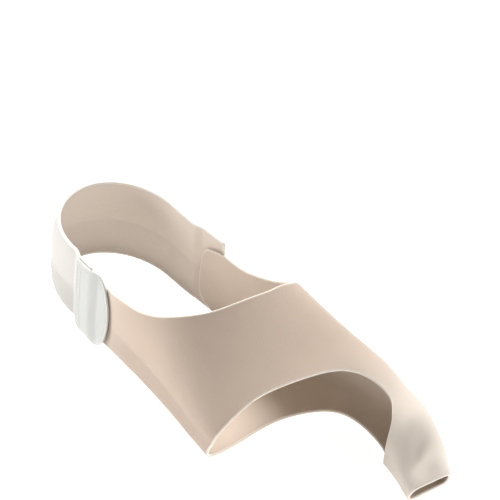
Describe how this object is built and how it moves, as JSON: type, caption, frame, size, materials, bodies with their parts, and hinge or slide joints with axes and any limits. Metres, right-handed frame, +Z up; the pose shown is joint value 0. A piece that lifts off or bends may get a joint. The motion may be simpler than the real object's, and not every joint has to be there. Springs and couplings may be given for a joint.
{
  "type": "bunion corrector",
  "caption": "Stretch-knit bunion corrector for the right foot: a forefoot sleeve with a big-toe tube, a heel strap and a rounded hook tab, as worn.",
  "frame": {"origin": "inner face of the sole, in the middle of the band, where the ball of the foot stands", "axes": "+X towards the big-toe side, -Y towards the toes, +Z up"},
  "size_m": [0.0982, 0.2518, 0.0617],
  "materials": {
    "sleeve_knit": "matt stretch knit, warm beige-grey",
    "strap_knit": "matt stretch knit, slightly paler beige",
    "hook_fabric": "brushed off-white hook fastener backing"
  },
  "bodies": {
    "root": {"foot_sleeve": "sleeve_knit", "heel_strap": "strap_knit", "hook_tab": "hook_fabric"}
  },
  "joints": []
}
